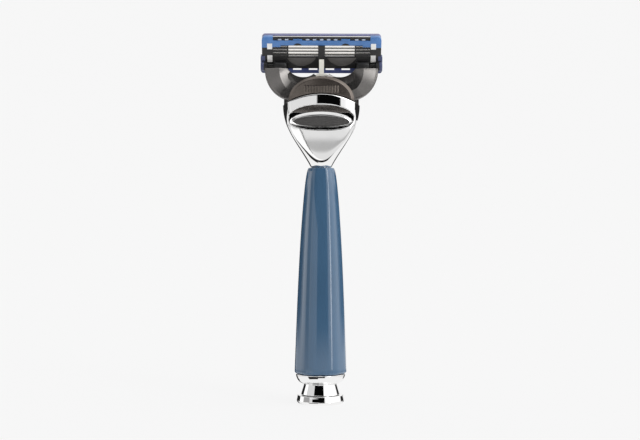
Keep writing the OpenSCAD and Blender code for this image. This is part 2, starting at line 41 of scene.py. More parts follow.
MM = 0.001
WAIST_Z, CUP_Z, SEAL_Z = 2.8, 6.7, 9.95
GRIP_Z0, GRIP_Z1, GRIP_FACET = 10.1, 79.0, 0.05
NECK_Z, NECK_W = 79.0, 3.35
SHOULDER_Z, SHOULDER_W, COLLAR_D = 101.0, 12.85, 5.8
FRONT_Y, FRONT_R = 5.5, 36.0
# Arches on which the head docks: the collar's and, a little larger, the hub's
DOCK_CZ, DOCK_R, HUB_R = 78.5, 25.0, 25.25
WINDOW = dict(cx=0, cz=95.6, half_w=10.95, rise=4.3, drop=4.1, power=2.5)
BUTTON_Z = 94.3
# Centre of the notch between the hub and an arm, and its radius
NOTCH_X, NOTCH_Z, NOTCH_R = 6.2, 115.3, 5.9
PIVOT_Y, PIVOT_Z, LEAN = 2.5, 113.4, math.radians(28)
COS_LEAN, SIN_LEAN = math.cos(LEAN), math.sin(LEAN)
# Cartridge: half width, and v of its cap edge
CARTRIDGE_W, CAP_V = 20.1, 10.1
EXPOSED_BLADES = ((-11.3, -1.1), (1.1, 11.3))


# ---------------------------------------------------------------- materials

def srgb(r, g, b):
    """8-bit display colour to the linear colour the shader takes."""
    def linear(c):
        c = c / 255.0
        return c / 12.92 if c <= 0.04045 else ((c + 0.055) / 1.055) ** 2.4
    return (linear(r), linear(g), linear(b), 1.0)


def new_material(name):
    m = bpy.data.materials.new(name)
    m.use_nodes = True
    return m, m.node_tree, m.node_tree.nodes["Principled BSDF"]


def texture_space(nt, scale):
    tc = nt.nodes.new("ShaderNodeTexCoord")
    mp = nt.nodes.new("ShaderNodeMapping")
    mp.inputs["Scale"].default_value = scale
    nt.links.new(tc.outputs["Object"], mp.inputs["Vector"])
    return mp.outputs["Vector"]


def noise(nt, vector, scale, detail=3.0, rough=0.5):
    n = nt.nodes.new("ShaderNodeTexNoise")
    n.inputs["Scale"].default_value = scale
    n.inputs["Detail"].default_value = detail
    n.inputs["Roughness"].default_value = rough
    nt.links.new(vector, n.inputs["Vector"])
    return n.outputs["Fac"]


def ramp(nt, fac, stops):
    r = nt.nodes.new("ShaderNodeValToRGB")
    els = r.color_ramp.elements
    while len(els) < len(stops):
        els.new(0.5)
    for e, (pos, col) in zip(els, stops):
        e.position = pos
        e.color = col if len(col) == 4 else (*col, 1.0)
    nt.links.new(fac, r.inputs["Fac"])
    return r.outputs["Color"]


def map_range(nt, fac, lo, hi):
    n = nt.nodes.new("ShaderNodeMapRange")
    n.inputs["From Min"].default_value = 0.3
    n.inputs["From Max"].default_value = 0.7
    n.inputs["To Min"].default_value = lo
    n.inputs["To Max"].default_value = hi
    nt.links.new(fac, n.inputs["Value"])
    return n.outputs["Result"]


def bump(nt, bsdf, height, strength, distance):
    b = nt.nodes.new("ShaderNodeBump")
    b.inputs["Strength"].default_value = strength
    b.inputs["Distance"].default_value = distance
    nt.links.new(height, b.inputs["Height"])
    nt.links.new(b.outputs["Normal"], bsdf.inputs["Normal"])


def make(name, low, high, metallic=0.0, rough=(0.3, 0.4), coat=0.0, stretch=(1, 1, 1),
         scale=900.0, grain=None, ior=1.5, coat_rough=0.05):
    """A surface with slow colour change between low and high, uneven roughness and a fine grain."""
    m, nt, bsdf = new_material(name)
    space = texture_space(nt, stretch)
    tone = noise(nt, space, scale, 4.0, 0.55)
    nt.links.new(ramp(nt, tone, [(0.3, low), (0.7, high)]), bsdf.inputs["Base Color"])
    wear = noise(nt, space, scale * 3.1, 5.0, 0.6)
    nt.links.new(map_range(nt, wear, rough[0], rough[1]), bsdf.inputs["Roughness"])
    bsdf.inputs["Metallic"].default_value = metallic
    bsdf.inputs["IOR"].default_value = ior
    bsdf.inputs["Coat Weight"].default_value = coat
    bsdf.inputs["Coat Roughness"].default_value = coat_rough
    if grain:
        grain_scale, strength, distance = grain
        bump(nt, bsdf, noise(nt, space, grain_scale, 3.0, 0.6), strength, distance)
    return m


MAT = {
    "chrome": make("polished_chrome", (0.90, 0.90, 0.90), (0.94, 0.935, 0.93), 1.0, (0.02, 0.045), scale=60,
                   grain=(4000.0, 0.02, 0.00001)),
    "steel": make("satin_steel", (0.88, 0.86, 0.83), (0.94, 0.925, 0.90), 1.0, (0.14, 0.22),
                  stretch=(0.05, 1, 1), scale=900, grain=(6000.0, 0.15, 0.00002)),
    "resin": make("blue_resin", srgb(64, 95, 124), srgb(69, 101, 131), 0.0, (0.05, 0.09), coat=0.6, scale=35,
                  grain=(700.0, 0.01, 0.00002), coat_rough=0.02),
    # Dark plastic for the housing, core and frame; also laid on the yoke's bosses and behind the comb as
    # painted shade
    "dark": make("dark_plastic", (0.012, 0.012, 0.013), (0.022, 0.021, 0.021), 0.0, (0.3, 0.45), scale=600,
                 grain=(3500.0, 0.2, 0.00003)),
    "yoke": make("yoke_metallic", (0.16, 0.153, 0.148), (0.18, 0.172, 0.165), 0.85, (0.2, 0.24), scale=300,
                 grain=(2500.0, 0.03, 0.00001)),
    "gunmetal": make("gunmetal_paint", (0.16, 0.137, 0.12), (0.18, 0.156, 0.139), 0.85, (0.2, 0.24),
                     scale=300, grain=(2500.0, 0.03, 0.00001)),
    "shield": make("shield_paint", (0.15, 0.135, 0.125), (0.18, 0.163, 0.152), 0.8, (0.22, 0.3), scale=300,
                   grain=(2500.0, 0.03, 0.00001)),
    # Dark steel for the pivot pins; the same material makes the painted shade between the blade supports
    "dark_steel_and_shade": make("dark_steel_and_painted_shade", (0.05, 0.05, 0.05), (0.09, 0.088, 0.085), 1.0, (0.2, 0.3), scale=900,
                grain=(4000.0, 0.1, 0.00001)),
    "white": make("cream_plastic", srgb(240, 237, 226), srgb(246, 244, 236), 0.0, (0.3, 0.4), scale=500,
                  grain=(3000.0, 0.1, 0.00002)),
    "blue": make("blue_plastic", srgb(76, 122, 184), srgb(86, 132, 192), 0.0, (0.25, 0.35), scale=500,
                 grain=(3000.0, 0.12, 0.00002)),
    "guard": make("guard_plastic", srgb(76, 88, 142), srgb(88, 100, 152), 0.0, (0.25, 0.35), scale=500,
                  grain=(3000.0, 0.12, 0.00002)),
    "fin": make("fin_rubber", srgb(40, 62, 110), srgb(52, 78, 128), 0.0, (0.5, 0.65), scale=700,
                grain=(3500.0, 0.3, 0.00003)),
    "seal": make("seal_rubber", (0.02, 0.02, 0.02), (0.03, 0.03, 0.03), 0.0, (0.5, 0.6), scale=900,
                 grain=(4000.0, 0.3, 0.00002)),
    "pad": make("pad_rubber", (0.055, 0.052, 0.051), (0.07, 0.067, 0.065), 0.0, (0.45, 0.6), scale=900,
                grain=(4000.0, 0.3, 0.00003)),
    "strip": make("strip_polymer", srgb(190, 214, 206), srgb(214, 230, 224), 0.0, (0.4, 0.55), scale=500,
                  grain=(2500.0, 0.3, 0.00004)),
    # Aluminium for the clips; the same material makes the painted highlight below the blade supports
    "clip": make("clip_aluminium_and_painted_highlight", (0.84, 0.83, 0.81), (0.92, 0.91, 0.89), 0.2, (0.3, 0.4), scale=900,
                 grain=(5000.0, 0.2, 0.00002)),
    "lens": make("satin_grey", (0.085, 0.08, 0.077), (0.105, 0.1, 0.095), 0.0, (0.3, 0.4), scale=500,
                 grain=(3000.0, 0.1, 0.00001)),
    # Purple-grey: a painted reflection on the cap's top
    "cap": make("cap_painted_reflection", srgb(106, 108, 150), srgb(116, 118, 158), 0.0, (0.25, 0.35), scale=500,
                grain=(3000.0, 0.12, 0.00002)),
    "wing": make("wing_plastic", srgb(70, 77, 110), srgb(78, 86, 120), 0.0, (0.3, 0.4), scale=500,
                 grain=(3000.0, 0.12, 0.00002)),
    "tab": make("tab_plastic", srgb(168, 182, 206), srgb(182, 194, 214), 0.0, (0.3, 0.4), scale=500,
                grain=(3000.0, 0.12, 0.00002)),
}

NODE_MATERIAL = {
    "foot_base": "chrome", "foot_waist": "chrome", "foot_cup": "chrome", "foot_seal": "pad", "grip": "resin",
    "tie_rod": "steel", "collar": "chrome", "docking_core": "dark", "core_screws": "steel",
    "travel_shield": "shield", "release_button": "chrome", "button_pad": "pad", "ejector_frame": "dark",
    "button_spring": "steel", "yoke": "yoke", "hub_cover": "gunmetal", "pivot_pins": "dark_steel_and_shade",
    "plunger": "white",
    "plunger_spring": "steel", "blade_housing": "dark", "guard_frame": "guard", "guard_fins": "fin",
    "lube_strip": "strip", "trimmer_housing": "blue", "trimmer_blade": "steel", "clip_left": "clip",
    "clip_right": "clip",
}
for i in range(1, 6):
    NODE_MATERIAL[f"blade_{i}"] = "steel"
    NODE_MATERIAL[f"blade_support_{i}"] = "steel"


def dress(o, material, angle=35.0):
    """Gives o one material and smooth shading up to an angle in degrees."""
    o.data.materials.clear()
    o.data.materials.append(material)
    for p in o.data.polygons:
        p.use_smooth = True
    o.data.update()
    bpy.context.view_layer.objects.active = o
    for other in bpy.context.selected_objects:
        other.select_set(False)
    o.select_set(True)
    bpy.ops.object.shade_auto_smooth(angle=math.radians(angle))


for name, o in nodes.items():
    dress(o, MAT[NODE_MATERIAL[name]])


# ---------------------------------------------------------------- mesh helpers

def raw(name, verts_mm, faces):
    """A bare mesh object from points in mm: a piece before it is dressed, or a cutter."""
    me = bpy.data.meshes.new(name)
    me.from_pydata([(x * MM, y * MM, z * MM) for x, y, z in verts_mm], [], faces)
    me.validate()
    bm = bmesh.new()
    bm.from_mesh(me)
    bmesh.ops.recalc_face_normals(bm, faces=bm.faces)
    bm.to_mesh(me)
    bm.free()
    o = bpy.data.objects.new(name, me)
    bpy.context.scene.collection.objects.link(o)
    return o


def place(o, body, replaced):
    """Rides o on a body and hides the nodes that it stands for."""
    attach(o, body)
    if replaced:
        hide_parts(*replaced)


def piece(name, mesh, material, body, replaced, angle=35.0):
    """A finished piece from a mesh, which is (points in mm, faces)."""
    o = raw(name, *mesh)
    dress(o, MAT[material], angle)
    place(o, body, replaced)
    return o


def apply_modifiers(o):
    """Bakes the object's modifiers into its mesh."""
    bpy.context.view_layer.update()
    deps = bpy.context.evaluated_depsgraph_get()
    me = bpy.data.meshes.new_from_object(o.evaluated_get(deps))
    o.modifiers.clear()
    o.data = me


def combine(o, operation, *others):
    """Applies exact booleans of others to o, then deletes them."""
    for other in others:
        m = o.modifiers.new("boolean", "BOOLEAN")
        m.operation = operation
        m.solver = "EXACT"
        m.object = other
    apply_modifiers(o)
    for other in others:
        bpy.data.objects.remove(other, do_unlink=True)


def ring_faces(count, sides, cap_high=True):
    """Faces through count rings of points, closed at the low end and, if asked, at the high end."""
    faces = []
    for i in range(count - 1):
        for j in range(sides):
            k = (j + 1) % sides
            faces.append((i * sides + j, i * sides + k, (i + 1) * sides + k, (i + 1) * sides + j))
    faces.append(tuple(range(sides - 1, -1, -1)))
    if cap_high:
        faces.append(tuple((count - 1) * sides + j for j in range(sides)))
    return faces


def slab_faces(columns, rows):
    """Faces of a closed slab: a grid of points for its front, then the same grid for its back."""
    row, off = rows + 1, (columns + 1) * (rows + 1)
    faces = []
    for i in range(columns):
        for k in range(rows):
            p = i * row + k
            faces.append((p, p + row, p + row + 1, p + 1))
            faces.append((off + p, off + p + 1, off + p + row + 1, off + p + row))
        p = i * row
        faces.append((p, off + p, off + p + row, p + row))
        p = i * row + rows
        faces.append((p, p + row, off + p + row, off + p))
    for k in range(rows):
        faces.append((k, k + 1, off + k + 1, off + k))
        p = columns * row + k
        faces.append((p, off + p, off + p + 1, p + 1))
    return faces


def lathe(profile, sides=192):
    """Rings around z from (r, z) points, closed at both ends."""
    verts = []
    for r, z in profile:
        for j in range(sides):
            a = 2 * math.pi * j / sides
            verts.append((r * math.cos(a), r * math.sin(a), z))
    return verts, ring_faces(len(profile), sides)


def between(low, high):
    """A closed solid between two loops with as many points each."""
    n = len(low)
    caps = [tuple(range(n)), tuple(range(2 * n - 1, n - 1, -1))]
    return low + high, caps + [(i, (i + 1) % n, n + (i + 1) % n, n + i) for i in range(n)]


def prism_y(outline, y0, y1):
    """A flat outline in x and z given depth from y0 to y1."""
    return between([(x, y0, z) for x, z in outline], [(x, y1, z) for x, z in outline])


def circle(radius, n):
    turns = [2 * math.pi * i / n for i in range(n)]
    return [(radius * math.cos(a), radius * math.sin(a)) for a in turns]


def pivot_rod(x0, x1, radius, n):
    """A round bar along x on the cartridge's pivot."""
    verts = [(x, PIVOT_Y + y, PIVOT_Z + z) for x in (x0, x1) for y, z in circle(radius, n)]
    return verts, ring_faces(2, n)


def box_mesh(lo, hi):
    x0, y0, z0 = lo
    x1, y1, z1 = hi
    verts = [(x, y, z) for z in (z0, z1) for y in (y0, y1) for x in (x0, x1)]
    return verts, [(0, 2, 3, 1), (4, 5, 7, 6), (0, 1, 5, 4), (2, 6, 7, 3), (0, 4, 6, 2), (1, 3, 7, 5)]


def clamp(v, lo=0.0, hi=1.0):
    return max(lo, min(hi, v))


def smooth(t):
    t = clamp(t)
    return t * t * (3 - 2 * t)


def smax(a, b, k):
    """Larger of a and b, with the corner rounded over about k."""
    return 0.5 * (a + b + math.sqrt((a - b) ** 2 + k * k))


def bevel(o, width, segments=2):
    m = o.modifiers.new("edge", "BEVEL")
    m.width = width * MM
    m.segments = segments
    m.limit_method = "ANGLE"
    m.angle_limit = math.radians(40)
    m.harden_normals = False
    m.use_clamp_overlap = True


def arc(ca, cb, r, from_degrees, to_degrees, n=10):
    pts = []
    for i in range(n + 1):
        a = math.radians(from_degrees + (to_degrees - from_degrees) * i / n)
        pts.append((ca + r * math.cos(a), cb + r * math.sin(a)))
    return pts


def loft(rows):
    """A closed skin through rings of points."""
    return [v for row in rows for v in row], ring_faces(len(rows), len(rows[0]))


def oval(cx, cz, half_w, rise, drop, power, n):
    """An outline that is an ellipse above its centre and a superellipse of the given power below it."""
    pts = []
    for i in range(n):
        t = 2 * math.pi * i / n
        c, s = math.cos(t), math.sin(t)
        k = 2 if s > 0 else power
        h = rise if s > 0 else drop
        pts.append((cx + half_w * math.copysign(abs(c) ** (2 / k), c),
                    cz + h * math.copysign(abs(s) ** (2 / k), s)))
    return pts


# ---------------------------------------------------------------- foot

def turned(name, profile, material, node):
    piece(name, lathe(profile), material, "handle", [node], 40)


def foot_base():
    rim, rim_r, top = 0.25, 7.66, 2.9
    profile = [(0.01, 0.0)]
    for i in range(12):
        a = math.radians(7.5 * i)
        profile.append((6.7 + 1.22 * math.sin(a), 1 - math.cos(a)))
    # Straight flank, leaning in by about ten degrees, then a rounded shoulder
    profile += [(7.925, 0.97), (7.93, 1.05), (7.915, 1.15), (7.9, 1.23)]
    profile += [(7.9 - 0.19 * (z - 1.23), z) for z in (1.5, 1.8, 2.1, 2.4)]
    for i in range(8):
        a = math.radians(11 + 79 * i / 7)
        profile.append((rim_r - rim * (1 - math.cos(a)), top - rim + rim * math.sin(a)))
    profile += [(6.45, top), (6.2, 2.86), (6.2, WAIST_Z), (0.01, WAIST_Z)]
    turned("foot_base_turned", profile, "chrome", "foot_base")


def foot_waist():
    z0, height = 3.07, 3.58
    profile = [(0.01, WAIST_Z), (6.2, WAIST_Z), (6.2, 3.0), (6.44, 3.02), (6.5, z0)]
    for i in range(1, 16):
        z = z0 + height * i / 16
        profile.append((6.5 - (z - 3.0) * 1.12 / 3.7, z))
    profile += [(5.38, CUP_Z), (0.01, CUP_Z)]
    turned("foot_waist_turned", profile, "chrome", "foot_waist")


def foot_cup():
    profile = [(0.01, CUP_Z)]
    for i in range(28):
        a = math.radians(9 + 3 * i)
        profile.append((5.5 + 2.75 * math.sin(a), CUP_Z + 3.25 * (1 - math.cos(a))))
    profile += [(8.22, 9.8), (8.12, 9.9), (7.98, SEAL_Z), (0.01, SEAL_Z)]
    turned("foot_cup_turned", profile, "chrome", "foot_cup")


def foot_seal():
    low, high = SEAL_Z + 0.001, GRIP_Z0 - 0.001
    profile = [(0.01, low), (7.75, low), (7.85, 10.0), (7.85, 10.05), (7.75, high), (0.01, high)]
    turned("foot_seal_ring", profile, "seal", "foot_seal")


# ---------------------------------------------------------------- grip

def grip_corner(z):
    """Distance from the axis to the hexagon's corners, tapering slowly and then rounding in at the top."""
    u = (z - GRIP_Z0) / (GRIP_Z1 - GRIP_Z0)
    return 8.72 - 2.34 * u - 1.53 * u ** 3.6 - 0.42 * u ** 30


def grip():
    sides, low, high = 240, 0.7, 0.4
    rings = []
    for i in range(10):
        a = math.radians(10 * i)
        corner = grip_corner(GRIP_Z0 + low) - low * (1 - math.sin(a))
        rings.append((corner, GRIP_Z0 + low * (1 - math.cos(a))))
    for i in range(1, 60):
        z = GRIP_Z0 + low + (GRIP_Z1 - GRIP_Z0 - low - high) * (1 - (1 - i / 60) ** 1.25)
        rings.append((grip_corner(z), z))
    for i in range(9, -1, -1):
        a = math.radians(10 * i)
        rings.append((grip_corner(GRIP_Z1) - high * (1 - math.sin(a)), GRIP_Z1 - high * (1 - math.cos(a))))
    verts = []
    for r, z in rings:
        for j in range(sides):
            a = 2 * math.pi * j / sides
            q = r * (1 - GRIP_FACET * (1 - math.cos(6 * a)) / 2)
            verts.append((q * math.cos(a), q * math.sin(a), z))
    piece("grip_resin", (verts, ring_faces(len(rings), sides)), "resin", "handle", ["grip"], 60)


# ---------------------------------------------------------------- collar

def bezier(t, a, b, c, d):
    return (1 - t) ** 3 * a + 3 * (1 - t) ** 2 * t * b + 3 * (1 - t) * t * t * c + t ** 3 * d


CURVE_STEPS = 400
COLLAR_CURVE = [(bezier(t / CURVE_STEPS, NECK_Z, 87, 92, SHOULDER_Z),
                 bezier(t / CURVE_STEPS, NECK_W, 7.7, 13.3, SHOULDER_W)) for t in range(CURVE_STEPS + 1)]


def collar_half_w(z):
    if z <= NECK_Z:
        return NECK_W
    if z >= SHOULDER_Z:
        return SHOULDER_W
    lo, hi = 0, CURVE_STEPS
    while hi - lo > 1:
        mid = (lo + hi) // 2
        if COLLAR_CURVE[mid][0] <= z:
            lo = mid
        else:
            hi = mid
    (z0, w0), (z1, w1) = COLLAR_CURVE[lo], COLLAR_CURVE[hi]
    return w0 + (w1 - w0) * (z - z0) / (z1 - z0)


def collar_half_d(z):
    return COLLAR_D - (COLLAR_D - NECK_W) * math.exp(-(z - NECK_Z) / 3.3)


def collar_power(z):
    """Superellipse power of the section: round at the neck, squarer above, and softer again at the top."""
    squaring = clamp((z - NECK_Z) / 9)
    softening = smooth((z - 87.5) / 9)
    return 2 + 2 * (squaring - 0.12 * squaring * (1 - squaring)) - 1.5 * softening


def window_distance(x, z):
    """About how far (x, z) is outside the window's edge."""
    dz, half_w = z - WINDOW["cz"], WINDOW["half_w"]
    n = 2.0 if dz > 0 else WINDOW["power"]
    b = WINDOW["rise"] if dz > 0 else WINDOW["drop"]
    f = (abs(x) / half_w) ** n + (abs(dz) / b) ** n
    gx = n / half_w * (abs(x) / half_w) ** (n - 1)
    gz = n / b * (abs(dz) / b) ** (n - 1)
    g = math.hypot(gx, gz)
    if g < 1e-6:
        return -5.0
    # Distance from the level set, with the shape's own growth taken out
    s = f ** (1 / n)
    return (s - 1) / (g / (n * f ** ((n - 1) / n))) if f > 1e-9 else -5.0


def rolled(inset, radius):
    """How far a rolled edge of the given radius has dropped at inset from the edge."""
    q = clamp((radius - inset) / radius)
    return radius * (1 - math.sqrt(max(0.0, 1 - q * q)))


def front_surface(x, z):
    """y of the front: an upright barrel that leans back below the window, with rolled edges."""
    drop = smax(0.0, 94.0 - z, 1.2)
    y = -FRONT_Y + x * x / (2 * FRONT_R) + math.tan(math.radians(5.1)) * drop
    y += rolled(window_distance(x, z), 0.28)
    if z > 95:
        y += rolled(DOCK_R - math.hypot(x, z - DOCK_CZ), 0.45)
    return y


def ring_shares(half):
    """x as a share of the half width, at equal steps along half of a mid-height ring."""
    w, d, p = 12.9, COLLAR_D, 2.5
    dense = []
    for i in range(4001):
        a = math.pi * i / 4000
        c, s = math.cos(a), math.sin(a)
        q = (abs(c / w) ** p + abs(s / d) ** p) ** (-1 / p)
        dense.append((q * c, q * s))
    run = [0.0]
    for before, after in zip(dense, dense[1:]):
        run.append(run[-1] + math.dist(before, after))
    shares = []
    k = 0
    for j in range(half + 1):
        want = run[-1] * j / half
        while k < len(run) - 2 and run[k + 1] < want:
            k += 1
        t = (want - run[k]) / (run[k + 1] - run[k])
        shares.append((dense[k][0] + (dense[k + 1][0] - dense[k][0]) * t) / w)
    return shares


def collar_section(share, z, front):
    """Point at a share of the half width, on the front or the back."""
    half_w, half_d, power = collar_half_w(z), collar_half_d(z), collar_power(z)
    x = share * half_w
    y = half_d * max(0.0, 1 - abs(share) ** power) ** (1 / power)
    if not front:
        return x, y
    y = -y
    if y < -0.3:
        y = smax(y, front_surface(x, z), 0.3)
    # Flat flanks beside the window, running out to nothing below it
    flank = clamp(0.35 + 0.31 * (z - 93.2), 0.12, 1.96)
    side = -(half_w - abs(x)) * 3.8 / flank
    return x, smax(y, side, 0.12) if max(y, side) < -0.25 else max(y, side)


def collar_shell():
    """The collar before its openings are cut: rings from the neck to the dock's arch."""
    sides, levels = 384, 220
    half = sides // 2
    shares = ring_shares(half)
    verts = []
    for i in range(levels + 1):
        u = i / levels
        for j in range(sides):
            front = j > half
            share = shares[sides - j] if front else shares[j]
            z = NECK_Z + u * 24
            # The top follows the arch, whose height depends on x and so on z
            for _ in range(6):
                x = share * collar_half_w(z)
                z = NECK_Z + u * (DOCK_CZ + math.sqrt(DOCK_R ** 2 - x * x) - NECK_Z)
            verts.append((*collar_section(share, z, front), z))
    faces = ring_faces(levels + 1, sides, cap_high=False)
    # Close the arch with strips from the back to the front
    base = levels * sides
    for j in range(half):
        corners = [j, j + 1, (sides - j - 1) % sides, (sides - j) % sides]
        strip = list(dict.fromkeys(base + c for c in corners))
        if len(strip) > 2:
            faces.append(tuple(strip))
    return verts, faces


def pocket_outline():
    """The pocket behind the window: an arch above, a flatter curve below."""
    half_w, power = 10.65, 2.2
    pts = []
    for degrees in range(0, 181, 3):
        a = math.radians(degrees)
        pts.append((half_w * math.cos(a), 96.55 + 3.5 * math.sin(a)))
    for i in range(1, 60):
        a = math.pi + math.pi * i / 60
        pts.append((half_w * math.copysign(abs(math.cos(a)) ** (2 / power), math.cos(a)),
                    94.35 - 2.3 * abs(math.sin(a)) ** (2 / power)))
    return pts


def collar():
    o = raw("collar_chrome", *collar_shell())
    window = raw("window", *prism_y(oval(**WINDOW, n=160), -8, -3.35))
    pocket = raw("pocket", *prism_y(pocket_outline(), -3.4, -1.45))
    core = raw("core_bore", *box_mesh((-8.65, -0.55, 89.6), (8.65, 2.65, 106)))
    combine(o, "DIFFERENCE", window, pocket, core)
    dress(o, MAT["chrome"], 32)
    place(o, "handle", ["collar"])


# ---------------------------------------------------------------- release button

def button_ring():
    n, steps = 192, 14
    outer = oval(0, 94.35, 10.5, 3.35, 2.15, 2.2, n)
    inner = oval(0, BUTTON_Z, 9.4, 2.1, 1.7, 2.0, n)
    rows = [[(x, y, z) for x, z in outer] for y in (-1.85, -2.72)]
    for k in range(steps + 1):
        # Convex crown from the rim in to the pad
        s = 1 - k / steps
        y = -3.36 + 0.6 * s ** 1.15
        share = 0.995 * s
        rows.append([(a[0] + (b[0] - a[0]) * share, y, a[1] + (b[1] - a[1]) * share)
                     for a, b in zip(inner, outer)])
    rows.append([(x, -2.7, z) for x, z in inner])
    piece("button_ring", loft(rows), "chrome", "button", ["release_button"], 40)


def button_pad():
    n, steps, face_y = 192, 44, -3.0
    edge = oval(0, BUTTON_Z, 9.33, 2.04, 1.64, 2.0, n)
    rows = [[(x, y, z) for x, z in edge] for y in (-2.72, face_y)]
    for k in range(1, steps + 1):
        s = 1 - k / (steps + 1)
        row = []
        for x, z in edge:
            px, pz = x * s, BUTTON_Z + (z - BUTTON_Z) * s
            y = face_y - 0.16 * (1 - s ** 6)
            # Soft grip ridges across the pad, fading out towards its edge and ends
            fade = smooth((1 - s) / 0.25) * smooth((6.6 - abs(px)) / 1.5)
            y -= 0.13 * fade * (0.5 + 0.5 * math.cos(2 * math.pi * (pz - BUTTON_Z) / 0.9))
            row.append((px, y, pz))
        rows.append(row)
    piece("button_pad_rubber", loft(rows), "pad", "button", ["button_pad"], 50)


# ---------------------------------------------------------------- head

def hub_cover():
    nx, nz = 260, 64
    half_w, dome, dome_z, bevel_w, rib_w = 10.85, 7.7, 101.8, 0.95, 0.3
    rib_xs = [(i - 6) * 0.9 for i in range(13)]
    front, back = [], []
    for i in range(nx + 1):
        x = half_w * math.sin(math.pi * (i / nx - 0.5)) * 0.9995
        low = DOCK_CZ + math.sqrt(HUB_R ** 2 - x * x)
        high = max(low + 0.02, dome_z + dome * math.sqrt(max(0.0, 1 - (x / half_w) ** 2)))
        for k in range(nz + 1):
            z = low + (high - low) * (1 - (1 - k / nz) ** 1.5)
            above = max(0.0, z - dome_z)
            f = math.hypot(x / half_w, above / dome)
            slope = math.hypot(x / half_w ** 2, above / dome ** 2) / max(f, 1e-6)
            inset = (1 - f) / max(slope, 1e-6)
            y = -4.9 + x * x / 130
            # Bevel along the dome, softened where it meets the face
            y += 0.75 * max(0.0, smax(0.0, (bevel_w - inset) / bevel_w, 0.12) - 0.06)
            # Rolled lower edge along the dock
            y += rolled(z - low, 0.2)
            for rib_x in rib_xs:
                if abs(x - rib_x) < rib_w:
                    up = smooth((z - 103.8) / 0.3) * smooth((106.4 - z) / 0.3)
                    y -= 0.07 * up * smooth(1 - abs(x - rib_x) / rib_w)
            front.append((x, min(y, -2.7), z))
            back.append((x, -2.6, z))
    piece("hub_cover_plate", (front + back, slab_faces(nx, nz)), "gunmetal", "head",
          ["hub_cover"], 40)


def arm_outer(beta):
    """Distance from the notch's centre to the arm's outer edge along beta, on the right side."""
    dx, dz = math.cos(beta), math.sin(beta)
    ox, oz = NOTCH_X - 8.84, NOTCH_Z - 111.6
    b = ox * dx + oz * dz
    r = -b + math.sqrt(b * b - (ox * ox + oz * oz - 10.15 ** 2))
    # Not past the hub's arch
    ax, az = NOTCH_X, NOTCH_Z - DOCK_CZ
    b = ax * dx + az * dz
    disc = b * b - (ax * ax + az * az - HUB_R ** 2)
    if disc > 0:
        r = min(r, -b - math.sqrt(disc))
    return r


def arm_profile(beta):
    """Section of the arm at angle beta, as (distance from the notch's centre, y)."""
    back, edge_r = 2.6, 0.5
    outer = arm_outer(beta)
    width = outer - NOTCH_R
    facet = 2.7 + (5.2 - 2.7) * clamp((-math.degrees(beta) - 25) / 38)
    facet = min(facet, width - 1.0)
    pts = [(NOTCH_R, back - 0.3), (NOTCH_R, -0.7), (NOTCH_R + 0.04, -0.85), (NOTCH_R + 0.16, -0.97)]
    # Inner facet, rising steeply, then the outer one, falling gently
    run = width - facet - edge_r
    fall = 0.34 * run
    for k in range(1, 9):
        q = k / 8
        pts.append((NOTCH_R + 0.16 + (facet - 0.16) * q, -0.97 - 1.53 * q))
    for k in range(1, 9):
        q = k / 8
        pts.append((NOTCH_R + facet + run * q, -2.5 + fall * q))
    # Rounded outer edge, front and back
    for k in range(1, 6):
        a = math.radians(18 * k)
        pts.append((outer - edge_r + edge_r * math.sin(a), -2.0 + fall - edge_r * math.cos(a)))
    for k in range(6):
        a = math.radians(18 * k)
        pts.append((outer - edge_r + edge_r * math.cos(a), back - edge_r + edge_r * math.sin(a)))
    return pts + [(NOTCH_R + 0.3, back), (NOTCH_R + 0.08, back - 0.1)], width


def yoke_arm(side):
    """An arm swept round its notch, from the pin boss down to the hub."""
    steps, start_mid, end = 90, math.radians(-22), math.radians(-128)
    rows = []
    for i in range(steps + 1):
        t = i / steps
        profile, width = arm_profile(start_mid + (end - start_mid) * t)
        loop = []
        for r, y in profile:
            # Every point starts at the same height, so its own start angle depends on its radius
            start = math.asin(-3.0 / r)
            beta = start + (end - start) * t
            rr = r
            if r > NOTCH_R + 0.3:
                # Keep the outer edge on the true outline for this point's own angle
                rr = NOTCH_R + (r - NOTCH_R) * (arm_outer(beta) - NOTCH_R) / width
            loop.append((side * (NOTCH_X + rr * math.cos(beta)), y, NOTCH_Z + rr * math.sin(beta)))
        rows.append(loop)
    return loft(rows)


def hub_outline():
    half_w = 12.65
    arch = []
    for i in range(61):
        x = -half_w + 2 * half_w * i / 60
        arch.append((x, DOCK_CZ + math.sqrt(HUB_R ** 2 - x * x)))
    notch = arc(NOTCH_X, NOTCH_Z, NOTCH_R + 0.05, -35, -90, 40)
    notch = [(x, z) for x, z in notch if x < 10.6]
    crest = [(NOTCH_X - 2 * NOTCH_X * i / 12, 109.4) for i in range(1, 12)]
    right = [(half_w, 108.0), (12.2, 109.0)] + notch
    return arch + right + crest + [(-x, z) for x, z in reversed(right)]


def yoke_hub():
    """The crowned hub behind the cover, with sockets for the docking core and the plunger."""
    o = raw("yoke_hub", *prism_y(hub_outline(), -1.7, 4.8))
    back_r = 41
    crown = []
    for i in range(97):
        a = math.radians(-18 + 36 * i / 96)
        crown.append((back_r * math.sin(a), 4.8 - back_r + back_r * math.cos(a)))
    crown += [(11.1, -1.75), (11.1, -9), (-11.1, -9), (-11.1, -1.75)]
    crown_mesh = between([(x, y, 95) for x, y in crown], [(x, y, 118) for x, y in crown])
    combine(o, "INTERSECT", raw("crown", *crown_mesh))
    sockets = [
        box_mesh((-8.7, -0.6, 95), (8.7, 2.7, 104.7)),
        box_mesh((5.0, -1.9, 95), (7.2, -0.5, 105.7)),
        box_mesh((-7.2, -1.9, 95), (-5.0, -0.5, 105.7)),
        box_mesh((-2.75, 0.5, 104.6), (2.75, 2.7, 112)),
    ]
    combine(o, "DIFFERENCE", *[raw("socket", *mesh) for mesh in sockets])
    bevel(o, 0.22, 3)
    apply_modifiers(o)
    dress(o, MAT["yoke"], 40)
    place(o, "head", [])


